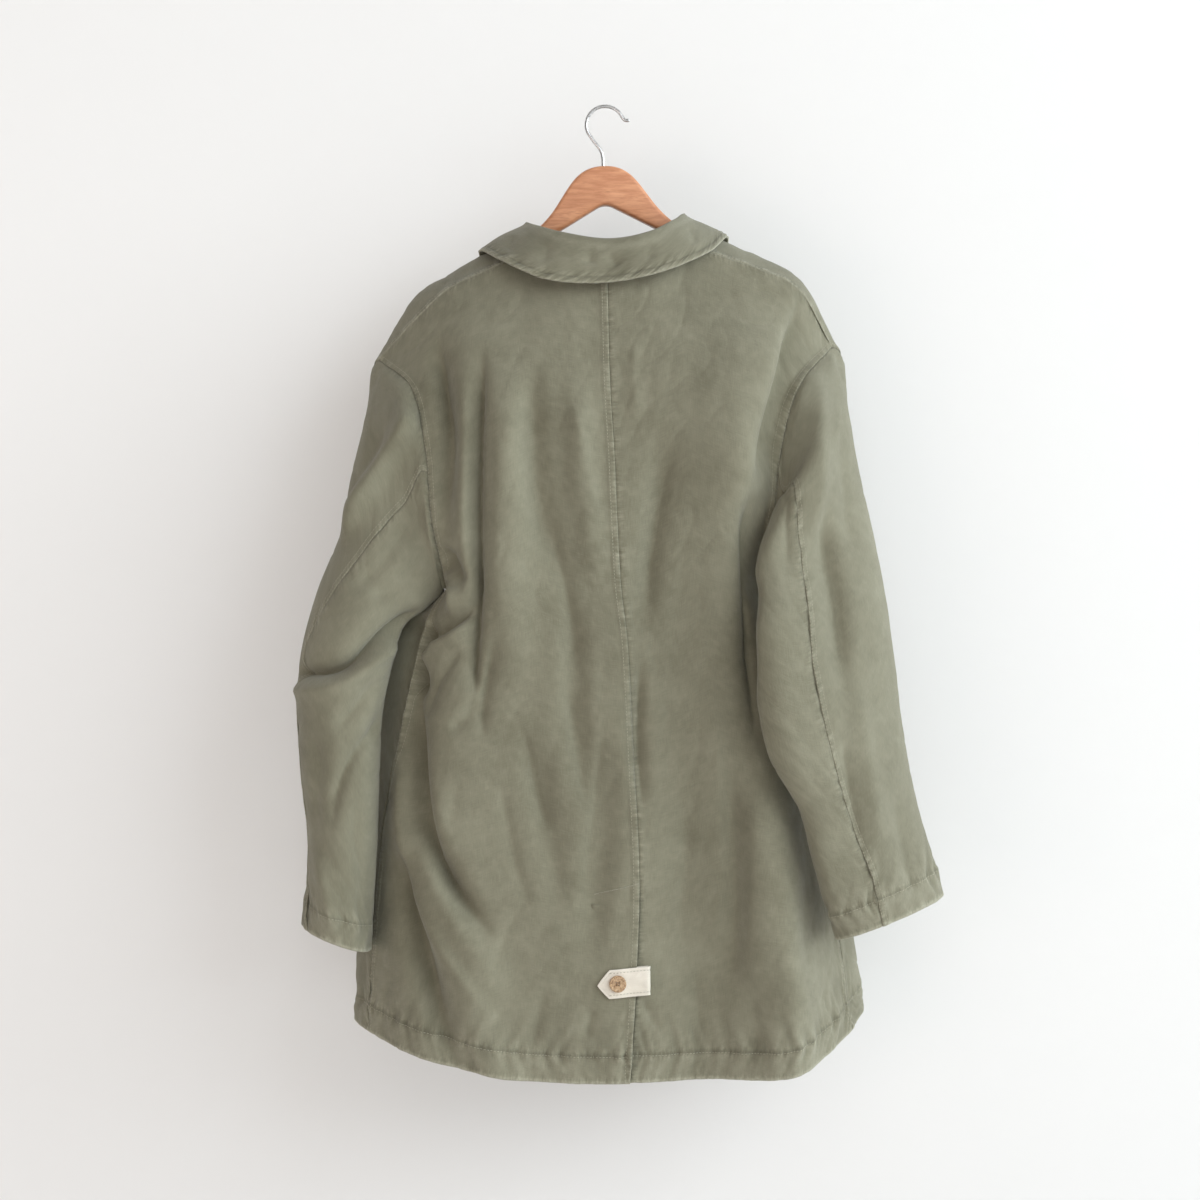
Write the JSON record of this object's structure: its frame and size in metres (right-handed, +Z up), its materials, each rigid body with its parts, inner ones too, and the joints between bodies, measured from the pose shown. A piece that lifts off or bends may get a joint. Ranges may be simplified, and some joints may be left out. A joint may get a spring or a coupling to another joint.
{
  "type": "chore coat on a wooden hanger",
  "caption": "Hip-length cotton chore coat with turned-down collar, back vent and buttoned vent tab, hung buttoned on a wooden hanger with a wire hook.",
  "frame": {"origin": "underside of the hook's top, where a rail carries it", "axes": "+X the wearer's right, +Y the way the coat's front faces, +Z up"},
  "size_m": [0.6584, 0.2328, 1.0054],
  "materials": {
    "twill": "washed olive cotton twill, matt",
    "canvas": "undyed cream cotton canvas, matt",
    "button": "tortoise resin, polished",
    "hanger_wood": "orange-brown stained beech, varnished",
    "hook_wire": "bright plated steel wire"
  },
  "bodies": {
    "root": {"back_left": "twill", "back_right": "twill", "front_left": "twill", "front_right": "twill", "sleeve_left_top": "twill", "sleeve_left_under": "twill", "sleeve_right_top": "twill", "sleeve_right_under": "twill", "collar": "twill", "pocket_left": "twill", "pocket_right": "twill", "vent_tab": "canvas", "vent_button": "button", "front_button_1": "button", "front_button_2": "button", "front_button_3": "button", "front_button_4": "button", "front_button_5": "button", "hanger": "hanger_wood", "hanger_hook": "hook_wire"}
  },
  "joints": []
}
